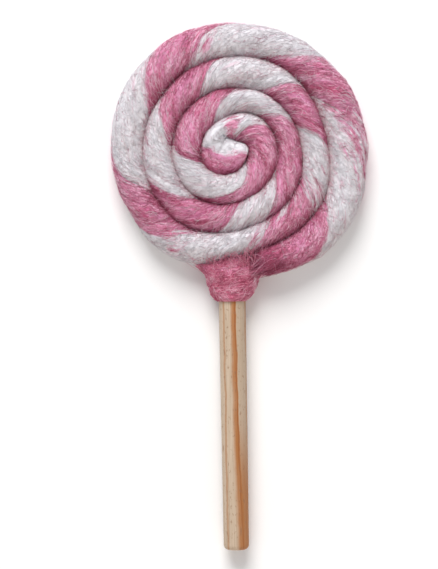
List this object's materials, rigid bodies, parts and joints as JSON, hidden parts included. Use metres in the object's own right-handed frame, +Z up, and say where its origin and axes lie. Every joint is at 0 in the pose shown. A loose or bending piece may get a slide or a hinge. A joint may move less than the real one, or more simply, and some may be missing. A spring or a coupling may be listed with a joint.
{
  "type": "felted wool toy lollipop",
  "caption": "Toy lollipop of felted wool: a pink and white twisted rope wound into a flat spiral disc, held by a wool collar on a round wooden stick, lying on its back.",
  "frame": {"origin": "on the resting plane, under the crest of the rope's inner end, 1.2 mm below the eye of the spiral on the line of the stick", "axes": "+Z up, out of the shown face of the disc; the stick runs along -Y and the far side of the disc is +Y; +X is to the right as seen from above with the stick towards the viewer"},
  "size_m": [0.08, 0.1653, 0.0113],
  "materials": {
    "pink_wool": "matt felted wool with loose fibres",
    "white_wool": "matt felted wool with loose fibres",
    "collar_wool": "matt felted wool wound round the stick",
    "stick_wood": "bare sanded softwood with a darker grain streak"
  },
  "bodies": {
    "root": {"pink_wool_strand": "pink_wool", "white_wool_strand": "white_wool", "pink_wool_collar": "collar_wool", "wooden_stick": "stick_wood"}
  },
  "joints": []
}
